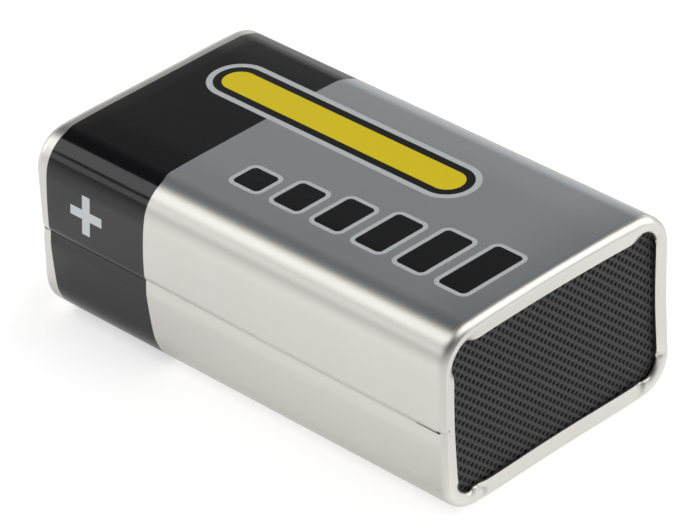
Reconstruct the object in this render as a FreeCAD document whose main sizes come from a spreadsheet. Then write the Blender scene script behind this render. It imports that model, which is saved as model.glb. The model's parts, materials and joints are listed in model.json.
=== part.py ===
import FreeCAD, Part
import math
import os
import Sketcher

# A nine volt battery of six cylindrical cells in a wrapped steel jacket, in millimetres.
#
# Each piece is drawn upright, x across the width, y from front to back and z from the base rim
# to the terminals. A common placement then lays the battery on its broad back: the front face
# points up, the terminals point along +Y and the positive terminal is on the -X side. The origin
# is at the centre of the footprint.

# Driving dimensions
SIZES = {
    "jacket_width": 26.2,
    "jacket_depth": 17.0,
    "jacket_length": 46.4,
    "jacket_corner": 3.3,
    "jacket_sheet": 0.25,
    "rim_radius": 0.9,
    "rim_dip_angle": 60.0,
    "corner_rim": 1.25,
    "front_flange_stop": 1.0,
    "side_flange_stop": 0.2,
    "flange_slant": 0.7,
    "seam_step": 0.12,
    "seam_ramp": 1.2,
    "seam_lap": 2.0,
    "fit_gap": 0.05,
    "liner_wall": 0.2,
    "card_thickness": 0.3,
    "base_thickness": 1.1,
    "pit_depth": 0.25,
    "pit_width": 1.86,
    "pit_height": 1.9,
    "pit_slant": 0.22,
    "pit_side_margin": 1.5,
    "pit_front_margin": 1.6,
    "pit_columns": 10,
    "pit_rows": 6,
    "board_thickness": 1.1,
    "lead_headroom": 2.1,
    "lead_overhang": 1.0,
    "riser_gap": 0.3,
    "strip_thickness": 0.15,
    "strip_width": 3.0,
    "strip_overhang": 1.2,
    "strip_corner": 0.5,
    "terminal_inset": 6.75,
    "stud_height": 2.65,
    "stud_bulge_diameter": 5.72,
    "stud_neck_diameter": 5.38,
    "stud_neck_height": 1.1,
    "stud_bulge_rise": 0.35,
    "stud_round": 0.5,
    "stud_lip": 0.1,
    "stud_floor": 0.35,
    "socket_height": 2.6,
    "socket_belly_diameter": 8.6,
    "socket_foot_diameter": 6.8,
    "socket_wall": 0.35,
    "socket_foot_height": 0.7,
    "socket_belly_height": 0.5,
    "socket_throat_height": 0.4,
    "socket_lip": 0.35,
    "socket_bow": 1.6,
    "finger_slot": 0.55,
    "finger_root": 0.2,
    "finger_count": 6,
    "rivet_diameter": 2.4,
    "rivet_bore": 1.6,
    "rivet_head_diameter": 3.8,
    "rivet_head_thickness": 0.35,
    "rivet_tail_diameter": 3.4,
    "rivet_tail_thickness": 0.3,
    "cell_gap": 0.05,
    "can_wall": 0.2,
    "can_crimp": 0.2,
    "crimp_reach": 0.5,
    "nub_diameter": 3.0,
    "nub_height": 0.6,
    "cathode_wall": 1.15,
    "separator_wall": 0.2,
    "cap_sheet": 0.25,
    "cap_face_diameter": 5.0,
    "cap_seat": 0.15,
    "seal_rim": 0.4,
    "seal_plate": 0.8,
    "seal_depth": 1.35,
    "seal_hub_diameter": 2.6,
    "seal_hub_drop": 0.6,
    "collector_diameter": 1.0,
    "collector_head_diameter": 2.0,
    "collector_head_thickness": 0.3,
    "collector_standoff": 9.0,
}

document = FreeCAD.newDocument("nine_volt_battery")
sheet = document.addObject("Spreadsheet::Sheet", "sizes")


class Size:
    """A length that keeps its number and the sheet expression that it comes from."""

    def __init__(self, value, text):
        self.value = value
        self.text = text

    def __add__(self, other):
        return Size(self.value + number(other), f"({self.text} + {words(other)})")

    def __sub__(self, other):
        return Size(self.value - number(other), f"({self.text} - {words(other)})")

    def __mul__(self, other):
        return Size(self.value * number(other), f"({self.text} * {words(other)})")

    def __truediv__(self, other):
        return Size(self.value / number(other), f"({self.text} / {words(other)})")

    def __neg__(self):
        return Size(-self.value, f"(0 - {self.text})")


def number(value):
    return value.value if isinstance(value, Size) else value


def words(value):
    return value.text if isinstance(value, Size) else str(value)


def smaller(one, other):
    return Size(min(one.value, other.value), f"min({one.text}; {other.text})")


def larger(one, other):
    return Size(max(one.value, other.value), f"max({one.text}; {other.text})")


def cosine(angle):
    return Size(math.cos(math.radians(angle.value)), f"cos({angle.text} * 1 deg)")


def sine(angle):
    return Size(math.sin(math.radians(angle.value)), f"sin({angle.text} * 1 deg)")


def fill_sheet():
    for row, (name, value) in enumerate(SIZES.items(), start=1):
        sheet.set(f"A{row}", name)
        sheet.set(f"B{row}", str(value))
        sheet.setAlias(f"B{row}", name)
    document.recompute()


def size(name):
    return Size(float(SIZES[name]), f"sizes.{name}")


fill_sheet()

# Sizes that several pieces share
width = size("jacket_width")
depth = size("jacket_depth")
length = size("jacket_length")
corner = size("jacket_corner")
wall = size("jacket_sheet")
gap = size("fit_gap")
rim = size("rim_radius")
strip = size("strip_thickness")
half_spacing = width / 2 - size("terminal_inset")
rivet_radius = size("rivet_diameter") / 2

# The rolled sheet turns over the rim and dips towards the plate that it holds
dip_angle = size("rim_dip_angle")
plate_edge = (rim - wall) * cosine(dip_angle)
rim_seat = rim - plate_edge

# Plates clear the sheet, and the liner also clears the lapped seam on the narrow side
plate_inset = wall + gap
liner_width = width - (wall * 2 + gap) * 2
liner_depth = depth - plate_inset * 2
liner_corner = corner - wall * 2 - gap
liner_wall = size("liner_wall")
total_length = length - rim_seat + size("stud_height")

# Heights of the stack, from the base rim
base_top = rim_seat + size("base_thickness")
cell_bottom = base_top + size("card_thickness") + strip
board_top = length - rim_seat
board_under = board_top - size("board_thickness")
cell_top = board_under - size("lead_headroom") - size("card_thickness") - strip
cell_length = cell_top - cell_bottom

# Six cells, two rows deep and three columns wide, as thick as both ways allow
cell_gap = size("cell_gap")
pack_width = liner_width - (liner_wall + cell_gap) * 2
pack_depth = liner_depth - (liner_wall + cell_gap) * 2
cell_diameter = smaller((pack_depth - cell_gap) / 2, (pack_width - cell_gap * 2) / 3)
cell_radius = cell_diameter / 2
row_offset = (pack_depth - cell_diameter) / 2
column_pitch = (pack_width - cell_diameter) / 2


def origin_item(body, role):
    return next(item for item in body.Origin.OriginFeatures if item.Role == role)


def new_body(label, across=None, back=None, up=None, inverted=False, turned=False):
    """A body at a place of the upright battery, laid down with it; inverted stands on its head."""
    body = document.addObject("PartDesign::Body", label)
    body.Label = label
    lay_down = FreeCAD.Rotation(FreeCAD.Vector(1, 0, 0), 90 if inverted else -90)
    turn = FreeCAD.Rotation(FreeCAD.Vector(0, 0, 1), 180 if turned else 0)
    body.Placement = FreeCAD.Placement(FreeCAD.Vector(), lay_down * turn)
    nowhere = Size(0.0, "0")
    body.setExpression("Placement.Base.x", (across or nowhere).text)
    body.setExpression("Placement.Base.y", ((up or nowhere) - total_length / 2).text)
    body.setExpression("Placement.Base.z", (depth / 2 - (back or nowhere)).text)
    return body


def new_sketch(body, role, label, offset=None):
    sketch = body.newObject("Sketcher::SketchObject", f"{body.Name}_{label}")
    sketch.AttachmentSupport = [(origin_item(body, role), "")]
    sketch.MapMode = "FlatFace"
    if offset is not None:
        sketch.setExpression("AttachmentOffset.Base.z", offset.text)
    return sketch


def hold(sketch, kind, *place, length_of):
    """A dimension of a sketch that follows the sheet."""
    index = sketch.addConstraint(Sketcher.Constraint(kind, *place, number(length_of)))
    sketch.setExpression(f"Constraints[{index}]", words(length_of))


def fix_point(sketch, piece, end, across, along):
    """Ties a sketch point to the origin, on an axis where its coordinate is none."""
    for value, kind, axis in ((across, "DistanceX", -2), (along, "DistanceY", -1)):
        if isinstance(value, Size):
            hold(sketch, kind, -1, 1, piece, end, length_of=value)
        else:
            sketch.addConstraint(Sketcher.Constraint("PointOnObject", piece, end, axis))


def bow(start, end, radius):
    """The short arc from start to end, counterclockwise where the radius is positive."""
    chord = end - start
    side = FreeCAD.Vector(-chord.y, chord.x, 0).normalize() * math.copysign(1, radius)
    centre = (start + end) / 2 + side * math.sqrt(radius ** 2 - chord.Length ** 2 / 4)
    whole = Part.Circle(centre, FreeCAD.Vector(0, 0, 1), abs(radius))
    first, last = (start, end) if radius > 0 else (end, start)
    return Part.ArcOfCircle(whole, whole.parameter(first), whole.parameter(last))


def outline(sketch, corners):
    """A closed outline whose corners are tied to the sheet.

    A corner of three values starts an arc of that radius to the next corner, clockwise where
    the radius is negative.
    """
    points = [FreeCAD.Vector(number(place[0]), number(place[1]), 0) for place in corners]
    first = sketch.GeometryCount
    ends = []
    for place, start, end in zip(corners, points, points[1:] + points[:1]):
        if len(place) == 3:
            sketch.addGeometry(bow(start, end, number(place[2])), False)
            ends.append((1, 2) if number(place[2]) > 0 else (2, 1))
        else:
            sketch.addGeometry(Part.LineSegment(start, end), False)
            ends.append((1, 2))
    for index, place in enumerate(corners):
        before = (index - 1) % len(corners)
        joint = (first + before, ends[before][1], first + index, ends[index][0])
        sketch.addConstraint(Sketcher.Constraint("Coincident", *joint))
        fix_point(sketch, first + index, ends[index][0], place[0], place[1])
        if len(place) == 3:
            radius = place[2] if number(place[2]) > 0 else -place[2]
            hold(sketch, "Radius", first + index, length_of=radius)


def arc(centre, radius, start, end):
    circle = Part.Circle(FreeCAD.Vector(*centre, 0), FreeCAD.Vector(0, 0, 1), radius)
    return Part.ArcOfCircle(circle, math.radians(start), math.radians(end))


def rounded_rectangle(sketch, across, along, radius):
    """A rectangle about the origin whose corners are arcs."""
    x = number(across) / 2
    y = number(along) / 2
    r = number(radius)
    turns = [((x - r, r - y), -90), ((x - r, y - r), 0), ((r - x, y - r), 90), ((r - x, r - y), 180)]
    ends = [((r - x, -y), (x - r, -y)), ((x, r - y), (x, y - r)),
            ((x - r, y), (r - x, y)), ((-x, y - r), (-x, r - y))]
    first = sketch.GeometryCount
    for (start, end), (centre, angle) in zip(ends, turns):
        line = Part.LineSegment(FreeCAD.Vector(*start, 0), FreeCAD.Vector(*end, 0))
        sketch.addGeometry(line, False)
        sketch.addGeometry(arc(centre, r, angle, angle + 90), False)
    for index in range(8):
        after = first + (index + 1) % 8
        sketch.addConstraint(Sketcher.Constraint("Tangent", first + index, 2, after, 1))
    for index in (0, 4):
        sketch.addConstraint(Sketcher.Constraint("Horizontal", first + index))
        sketch.addConstraint(Sketcher.Constraint("Vertical", first + index + 2))
    for index in (3, 5, 7):
        sketch.addConstraint(Sketcher.Constraint("Equal", first + 1, first + index))
    hold(sketch, "Radius", first + 1, length_of=radius)
    sketch.addConstraint(Sketcher.Constraint("Symmetric", first + 1, 3, first + 5, 3, -1, 1))
    hold(sketch, "DistanceX", first + 6, 1, first + 2, 1, length_of=across)
    hold(sketch, "DistanceY", first, 1, first + 4, 1, length_of=along)


def circle(sketch, across, along, radius):
    place = FreeCAD.Vector(number(across), number(along), 0)
    index = sketch.addGeometry(Part.Circle(place, FreeCAD.Vector(0, 0, 1), number(radius)), False)
    fix_point(sketch, index, 3, across, along)
    hold(sketch, "Radius", index, length_of=radius)


def pad(body, sketch, height):
    feature = body.newObject("PartDesign::Pad", f"{sketch.Name}_pad")
    feature.Profile = sketch
    feature.Length = number(height)
    feature.setExpression("Length", words(height))
    sketch.Visibility = False
    return feature


def cut_up(body, sketch, reach=None):
    """Cuts from the sketch plane upwards, through all that lies above it where no reach is given."""
    feature = body.newObject("PartDesign::Pocket", f"{sketch.Name}_cut")
    feature.Profile = sketch
    feature.Reversed = True
    if reach is None:
        feature.Type = "ThroughAll"
    else:
        feature.Length = number(reach)
        feature.setExpression("Length", words(reach))
    sketch.Visibility = False
    return feature


def revolve(body, corners):
    """A turned or drawn piece: its half section spun about the body's z axis."""
    sketch = new_sketch(body, "XZ_Plane", "section")
    outline(sketch, corners)
    feature = body.newObject("PartDesign::Revolution", f"{sketch.Name}_turn")
    feature.Profile = sketch
    feature.ReferenceAxis = (sketch, ["V_Axis"])
    feature.Angle = 360
    sketch.Visibility = False
    return feature


def round_edges(body, wanted, radius):
    """Rounds the edges of the body's last feature that pass the test."""
    document.recompute()
    base = body.Tip
    names = [f"Edge{index}" for index, edge in enumerate(base.Shape.Edges, start=1) if wanted(edge)]
    fillet = body.newObject("PartDesign::Fillet", f"{body.Name}_round")
    fillet.Base = (base, names)
    fillet.Radius = number(radius)
    fillet.setExpression("Radius", words(radius))
    return fillet


def outer_edges(height):
    """A test for the edges of a plate's outline at a height; the rim of a hole is closed."""
    def wanted(edge):
        box = edge.BoundBox
        level = box.ZMax - box.ZMin < 1e-4 and abs(box.ZMin - number(height)) < 1e-4
        return level and not edge.isClosed()
    return wanted


# Jacket

def jacket_section(sketch):
    """The sheet's section at the middle of the front: a wall with an inward roll at each end."""
    x = -depth.value / 2
    r = rim.value
    t = wall.value
    top = length.value
    dip = dip_angle.value
    outer = FreeCAD.Vector(x, r, 0), FreeCAD.Vector(x, top - r, 0)
    inner = FreeCAD.Vector(x + t, r, 0), FreeCAD.Vector(x + t, top - r, 0)
    low = (x + r, r)
    high = (x + r, top - r)
    low_outer = arc(low, r, 180, 270 + dip)
    low_inner = arc(low, r - t, 180, 270 + dip)
    high_outer = arc(high, r, 90 - dip, 180)
    high_inner = arc(high, r - t, 90 - dip, 180)
    pieces = [
        Part.LineSegment(*outer),
        high_outer,
        Part.LineSegment(high_outer.StartPoint, high_inner.StartPoint),
        high_inner,
        Part.LineSegment(*inner),
        low_inner,
        Part.LineSegment(low_inner.EndPoint, low_outer.EndPoint),
        low_outer,
    ]
    for piece in pieces:
        sketch.addGeometry(piece, False)
    joints = [("Tangent", 0, 2, 1, 2), ("Coincident", 1, 1, 2, 1), ("Coincident", 2, 2, 3, 1),
              ("Tangent", 3, 2, 4, 2), ("Tangent", 4, 1, 5, 1), ("Coincident", 5, 2, 6, 1),
              ("Coincident", 6, 2, 7, 2), ("Tangent", 7, 1, 0, 1),
              ("Coincident", 1, 3, 3, 3), ("Coincident", 5, 3, 7, 3), ("Vertical", 0)]
    for joint in joints:
        sketch.addConstraint(Sketcher.Constraint(*joint))
    tip_across = rim + rim * sine(dip_angle) - depth / 2
    root_across = rim + (rim - wall) * sine(dip_angle) - depth / 2
    fix_point(sketch, 7, 3, rim - depth / 2, rim)
    fix_point(sketch, 1, 3, rim - depth / 2, length - rim)
    hold(sketch, "Radius", 7, length_of=rim)
    hold(sketch, "DistanceX", -1, 1, 7, 2, length_of=tip_across)
    hold(sketch, "DistanceX", -1, 1, 1, 1, length_of=tip_across)
    hold(sketch, "Radius", 5, length_of=rim - wall)
    hold(sketch, "DistanceX", -1, 1, 5, 2, length_of=root_across)
    hold(sketch, "DistanceX", -1, 1, 3, 1, length_of=root_across)


def corner_notches(sketch):
    """What is cut from the rolled flanges at the corners, where the sheet only turns over."""
    edge = size("corner_rim")
    turn = corner - edge
    front_stop = corner + size("front_flange_stop")
    side_stop = corner + size("side_flange_stop")
    slant = size("flange_slant")
    inner = rim * 2
    for right in (1, -1):
        for back in (1, -1):
            def inset(from_side, from_back, *radius):
                place = ((width / 2 - from_side) * right, (depth / 2 - from_back) * back)
                return place + radius
            outline(sketch, [
                inset(front_stop, edge),
                inset(corner, edge, turn * (-right * back)),
                inset(edge, corner),
                inset(edge, side_stop),
                inset(inner, side_stop + slant),
                inset(front_stop + slant, inner),
            ])


def make_jacket():
    """One wrapped sheet: a tube with both rims rolled in, notched at the corners and lap-seamed."""
    body = new_body("jacket")
    section = new_sketch(body, "YZ_Plane", "section")
    jacket_section(section)
    path = new_sketch(body, "XY_Plane", "path")
    rounded_rectangle(path, width, depth, corner)
    document.recompute()
    wrap = body.newObject("PartDesign::AdditivePipe", "jacket_wrap")
    wrap.Profile = section
    wrap.Spine = (path, [f"Edge{index}" for index in range(1, 9)])

    notches = new_sketch(body, "XY_Plane", "notches")
    corner_notches(notches)
    cut_up(body, notches)

    # The front half of the sheet laps over the back half, which runs on beneath it
    step = size("seam_step")
    ramp = size("seam_ramp")
    face = -(width / 2)
    seam = new_sketch(body, "XY_Plane", "seam")
    outline(seam, [(face - step, 0), (face + step, 0), (face, ramp), (face - step, ramp)])
    cut_up(body, seam)
    lap = new_sketch(body, "XY_Plane", "lap", offset=base_top + gap)
    outline(lap, [
        (face + wall, -size("seam_lap")),
        (face + wall * 2, -size("seam_lap")),
        (face + wall * 2, ramp),
        (face + wall, ramp),
    ])
    pad(body, lap, board_under - base_top - gap * 2)
    return body


# Plates and liner

# The pits of the base plate stand in two staggered sets, spread over the plate in both ways
pit_reach = width / 2 - plate_inset - size("pit_side_margin")
pit_rise = depth / 2 - plate_inset - size("pit_front_margin")
pit_column_pitch = pit_reach * 2 / (size("pit_columns") - 1)
pit_row_pitch = pit_rise * 2 / (size("pit_rows") - 1)


def plate_outline(sketch):
    across = width - plate_inset * 2
    along = depth - plate_inset * 2
    rounded_rectangle(sketch, across, along, corner - plate_inset)


def pit_columns(body, label, column, row, rows, columns):
    """Sinks a column of slanted pits and repeats it across the plate."""
    half_width = size("pit_width") / 2
    half_height = size("pit_height") / 2
    slant = size("pit_slant") / 2
    sketch = new_sketch(body, "XY_Plane", label)
    for index in range(rows):
        middle = row + pit_row_pitch * index
        outline(sketch, [
            (column - half_width, middle - slant),
            (column, middle - half_height),
            (column + half_width, middle + slant),
            (column, middle + half_height),
        ])
    first = cut_up(body, sketch, size("pit_depth"))
    document.recompute()
    repeat = body.newObject("PartDesign::LinearPattern", f"{sketch.Name}_repeat")
    repeat.Originals = [first]
    repeat.Direction = (origin_item(body, "X_Axis"), [""])
    repeat.setExpression("Occurrences", words(columns))
    repeat.setExpression("Length", words(pit_column_pitch * (columns - 1)))
    body.Tip = repeat


def make_base_cover():
    """The moulded plate that closes the base, sunk all over with staggered rows of slanted pits.

    It is held by the rolled rim and rounded to clear it.
    """
    body = new_body("base_cover", up=rim_seat)
    sketch = new_sketch(body, "XY_Plane", "outline")
    plate_outline(sketch)
    pad(body, sketch, size("base_thickness"))
    round_edges(body, outer_edges(0), plate_edge)
    columns = size("pit_columns")
    rows = SIZES["pit_rows"]
    pit_columns(body, "pits", -pit_reach, pit_row_pitch / 2 - pit_rise, rows - 1, columns)
    between = pit_column_pitch / 2 - pit_reach
    pit_columns(body, "pits_between", between, -pit_rise, rows, columns - 1)
    return body


def make_terminal_board():
    """The board that carries both terminals, held by the rolled rim at the other end."""
    thickness = size("board_thickness")
    body = new_body("terminal_board", up=board_under)
    sketch = new_sketch(body, "XY_Plane", "outline")
    plate_outline(sketch)
    for side in (-1, 1):
        circle(sketch, half_spacing * side, 0, rivet_radius + gap)
    pad(body, sketch, thickness)
    round_edges(body, outer_edges(thickness), plate_edge)
    return body


def make_cell_liner():
    """The stiff sleeve round the cells, which also props the board against the rim."""
    body = new_body("cell_liner", up=base_top)
    height = board_under - base_top
    outside = new_sketch(body, "XY_Plane", "outside")
    rounded_rectangle(outside, liner_width, liner_depth, liner_corner)
    pad(body, outside, height)
    inside = new_sketch(body, "XY_Plane", "inside")
    inner_width = liner_width - liner_wall * 2
    inner_depth = liner_depth - liner_wall * 2
    rounded_rectangle(inside, inner_width, inner_depth, liner_corner - liner_wall)
    cut_up(body, inside)
    return body


def card(label, bottom):
    """An insulating card that fits inside the liner."""
    body = new_body(label, up=bottom)
    sketch = new_sketch(body, "XY_Plane", "outline")
    inset = (liner_wall + gap) * 2
    card_corner = liner_corner - inset / 2
    rounded_rectangle(sketch, liner_width - inset, liner_depth - inset, card_corner)
    pad(body, sketch, size("card_thickness"))
    return body


def make_cards():
    bottom = card("bottom_insulator", base_top)
    top = card("top_insulator", cell_top + strip)
    windows = new_sketch(top, "XY_Plane", "windows")
    for side in (-1, 1):
        near = (lead_start - gap) * side
        far = (lead_end + gap) * side
        low = (riser - strip - gap) * side
        high = (riser + gap) * side
        outline(windows, [(near, low), (far, low), (far, high), (near, high)])
    cut_up(top, windows)
    return [bottom, top]


# Terminals

def make_positive_stud():
    """The drawn cup whose beaded wall a snap socket springs over."""
    body = new_body("positive_stud", across=-half_spacing, up=board_top)
    bore = rivet_radius + gap
    neck = size("stud_neck_diameter") / 2
    bead = size("stud_bulge_diameter") / 2
    neck_top = size("stud_neck_height")
    top = size("stud_height")
    turn = size("stud_round")
    mouth = bead - turn - size("stud_lip")
    floor = size("stud_floor")
    revolve(body, [
        (bore, 0),
        (neck, 0),
        (neck, neck_top),
        (bead, neck_top + size("stud_bulge_rise")),
        (bead, top - turn, turn),
        (bead - turn, top),
        (mouth, top),
        (mouth, floor),
        (bore, floor),
    ])
    return body


def make_negative_socket():
    """The spring crown: a floor whose wall bellies out and closes to a throat, cut into fingers."""
    body = new_body("negative_socket", across=half_spacing, up=board_top)
    sheet_wall = size("socket_wall")
    bore = rivet_radius + gap
    foot = size("socket_foot_diameter") / 2
    belly = size("socket_belly_diameter") / 2
    throat = size("stud_neck_diameter") / 2
    lip = size("socket_lip")
    bow_radius = size("socket_bow")
    belly_low = size("socket_foot_height")
    belly_high = belly_low + size("socket_belly_height")
    throat_high = size("socket_height") - lip
    throat_low = throat_high - size("socket_throat_height")
    revolve(body, [
        (bore, 0),
        (foot, 0, bow_radius),
        (belly, belly_low),
        (belly, belly_high, bow_radius),
        (throat + sheet_wall, throat_low),
        (throat + sheet_wall, throat_high),
        (throat + sheet_wall + lip, throat_high + lip),
        (throat + lip, throat_high + lip),
        (throat, throat_high),
        (throat, throat_low - sheet_wall / 2, -bow_radius),
        (belly - sheet_wall, belly_high - sheet_wall / 2),
        (belly - sheet_wall, belly_low, -bow_radius),
        (foot - sheet_wall / 2, sheet_wall),
        (bore, sheet_wall),
    ])
    slot = new_sketch(body, "XY_Plane", "slot", offset=sheet_wall + size("finger_root"))
    half_slot = size("finger_slot") / 2
    outline(slot, [(0, -half_slot), (belly + gap, -half_slot), (belly + gap, half_slot), (0, half_slot)])
    first = cut_up(body, slot)
    document.recompute()
    ring = body.newObject("PartDesign::PolarPattern", "negative_socket_slots")
    ring.Originals = [first]
    ring.Axis = (origin_item(body, "Z_Axis"), [""])
    ring.Angle = 360
    ring.setExpression("Occurrences", words(size("finger_count")))
    body.Tip = ring
    return body


def make_rivet(label, side, floor):
    """The tubular rivet through a terminal's floor, the board and the lead."""
    body = new_body(label, across=half_spacing * side, up=board_top)
    bore = size("rivet_bore") / 2
    head = size("rivet_head_diameter") / 2
    tail = size("rivet_tail_diameter") / 2
    head_top = floor + size("rivet_head_thickness")
    tail_top = -(size("board_thickness") + strip)
    tail_end = tail_top - size("rivet_tail_thickness")
    revolve(body, [
        (bore, tail_end),
        (tail, tail_end),
        (tail, tail_top),
        (rivet_radius, tail_top),
        (rivet_radius, floor),
        (head, floor),
        (head, head_top),
        (bore, head_top),
    ])
    return body


# Leads and straps

lead_reach = rivet_radius + size("lead_overhang")
lead_start = -larger(column_pitch + size("lead_overhang"), half_spacing + lead_reach)
lead_end = -smaller(column_pitch - size("lead_overhang"), half_spacing - lead_reach)
riser = -(size("rivet_tail_diameter") / 2 + size("riser_gap"))


def make_lead(label, turned):
    """The bent strip from an end cell up through the top card to its rivet."""
    body = new_body(label, turned=turned)
    side_view = new_sketch(body, "YZ_Plane", "bend", offset=lead_start)
    start = -(row_offset + size("strip_overhang"))
    outline(side_view, [
        (start, cell_top),
        (riser, cell_top),
        (riser, board_under - strip),
        (lead_reach, board_under - strip),
        (lead_reach, board_under),
        (riser - strip, board_under),
        (riser - strip, cell_top + strip),
        (start, cell_top + strip),
    ])
    pad(body, side_view, lead_end - lead_start)
    hole = new_sketch(body, "XY_Plane", "hole")
    circle(hole, -half_spacing, 0, rivet_radius + gap)
    cut_up(body, hole)
    return body


def make_strap(label, across, back, up, sideways):
    """A flat strip that joins two neighbouring cells, centred between them."""
    body = new_body(label, across=across, back=back, up=up)
    sketch = new_sketch(body, "XY_Plane", "outline")
    breadth = size("strip_width")
    reach = (column_pitch if sideways else row_offset * 2) + size("strip_overhang") * 2
    sides = (reach, breadth) if sideways else (breadth, reach)
    rounded_rectangle(sketch, *sides, size("strip_corner"))
    pad(body, sketch, strip)
    return body


def make_straps():
    """The straps that put the six cells in series, from the first column to the last."""
    bottom = cell_bottom - strip
    return [
        make_strap("bottom_strap_1", -column_pitch, None, bottom, False),
        make_strap("bottom_strap_2", None, None, bottom, False),
        make_strap("bottom_strap_3", column_pitch, None, bottom, False),
        make_strap("top_strap_1", -column_pitch / 2, row_offset, cell_top, True),
        make_strap("top_strap_2", column_pitch / 2, -row_offset, cell_top, True),
    ]


# Cells

can_wall = size("can_wall")
can_bore = cell_radius - can_wall
cathode_bore = can_bore - size("cathode_wall")
separator = size("separator_wall")
gel_radius = cathode_bore - separator
pin_radius = size("collector_diameter") / 2
cap_sheet = size("cap_sheet")

# Heights inside a cell, from its negative face
seal_low = size("can_crimp") + can_wall
seal_floor = seal_low + size("seal_depth")
seal_top = seal_floor + size("seal_plate")
can_shoulder = cell_length - size("nub_height")
can_end = can_shoulder - can_wall
pin_tip = can_end - separator - size("collector_standoff")


def can_section():
    """Drawn steel: closed at the positive end by the nub, crimped in over the seal at the other."""
    nub = size("nub_diameter") / 2
    crimp = cell_radius - size("crimp_reach")
    return [
        (crimp, size("can_crimp")),
        (cell_radius, size("can_crimp")),
        (cell_radius, can_shoulder),
        (nub, can_shoulder),
        (nub, cell_length),
        (0, cell_length),
        (0, cell_length - can_wall),
        (nub - can_wall, cell_length - can_wall),
        (nub - can_wall, can_end),
        (can_bore, can_end),
        (can_bore, seal_low),
        (crimp, seal_low),
    ]


def cathode_section():
    return [(cathode_bore, seal_top), (can_bore, seal_top), (can_bore, can_end), (cathode_bore, can_end)]


def separator_section():
    return [
        (gel_radius, seal_top),
        (cathode_bore, seal_top),
        (cathode_bore, can_end),
        (0, can_end),
        (0, can_end - separator),
        (gel_radius, can_end - separator),
    ]


def anode_section():
    return [
        (pin_radius, seal_top),
        (gel_radius, seal_top),
        (gel_radius, can_end - separator),
        (0, can_end - separator),
        (0, pin_tip),
        (pin_radius, pin_tip),
    ]


def collector_section():
    head = size("collector_head_diameter") / 2
    head_top = cap_sheet + size("collector_head_thickness")
    return [
        (0, cap_sheet),
        (head, cap_sheet),
        (head, head_top),
        (pin_radius, head_top),
        (pin_radius, pin_tip),
        (0, pin_tip),
    ]


def seal_section():
    """A plastic disc with a rim for the crimp and a hub round the collector."""
    hub = size("seal_hub_diameter") / 2
    hub_low = seal_floor - size("seal_hub_drop")
    rim_bore = can_bore - size("seal_rim")
    return [
        (pin_radius, hub_low),
        (hub, hub_low),
        (hub, seal_floor),
        (rim_bore, seal_floor),
        (rim_bore, seal_low),
        (can_bore, seal_low),
        (can_bore, seal_top),
        (pin_radius, seal_top),
    ]


def cap_section():
    face = size("cap_face_diameter") / 2
    edge = can_bore - size("seal_rim")
    seat = seal_low + size("cap_seat")
    return [
        (0, 0),
        (face, 0),
        (face, seat),
        (edge, seat),
        (edge, seat + cap_sheet),
        (face - cap_sheet, seat + cap_sheet),
        (face - cap_sheet, cap_sheet),
        (0, cap_sheet),
    ]


CELL_PIECES = {
    "can": can_section,
    "cathode": cathode_section,
    "separator": separator_section,
    "anode": anode_section,
    "collector": collector_section,
    "seal": seal_section,
    "cap": cap_section,
}

# Column and row of each cell along the series chain; every second cell stands on its head
CELL_PLACES = [(-1, -1), (-1, 1), (0, 1), (0, -1), (1, -1), (1, 1)]


def make_cells():
    pieces = []
    for index, (column, row) in enumerate(CELL_PLACES):
        inverted = index % 2 == 1
        foot = cell_top if inverted else cell_bottom
        for piece, section in CELL_PIECES.items():
            across = column_pitch * column
            back = row_offset * row
            body = new_body(f"cell_{index + 1}_{piece}", across, back, foot, inverted=inverted)
            revolve(body, section())
            pieces.append(body)
    return pieces


def check(pieces):
    """Stops where a feature has failed or a piece is not one sound solid."""
    for item in document.Objects:
        if "Invalid" in item.State or "Error" in item.State:
            raise RuntimeError(f"{item.Name} failed: {item.State}")
    for piece in pieces:
        shape = piece.Shape
        if shape.isNull() or not shape.isValid() or len(shape.Solids) != 1:
            raise RuntimeError(f"{piece.Label} is not one sound solid")


def main():
    pieces = [make_jacket(), make_base_cover(), make_terminal_board(), make_cell_liner()]
    pieces += make_cards()
    pieces += [make_positive_stud(), make_negative_socket()]
    pieces.append(make_rivet("positive_rivet", -1, size("stud_floor")))
    pieces.append(make_rivet("negative_rivet", 1, size("socket_wall")))
    pieces += [make_lead("positive_lead", False), make_lead("negative_lead", True)]
    pieces += make_straps()
    pieces += make_cells()
    document.recompute()
    check(pieces)
    os.makedirs("parts", exist_ok=True)
    for piece in pieces:
        piece.Shape.exportStep(f"parts/{piece.Label}.step")
    print(f"{len(pieces)} pieces, total length {total_length.value:.3f} mm")


main()
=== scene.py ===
"""Nine volt battery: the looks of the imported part.

The printed steel jacket, its pitted base plate and the snap terminals are modelled here round
the fixed frame, every finish is a procedural material, and a plain studio stands round them.
Sizes are in millimetres in the fields and turned into metres by MM.
"""

import json
import logging
import math
from dataclasses import dataclass, field
from enum import Enum

import bmesh
import bpy
from mathutils import Matrix, Quaternion, Vector

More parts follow.
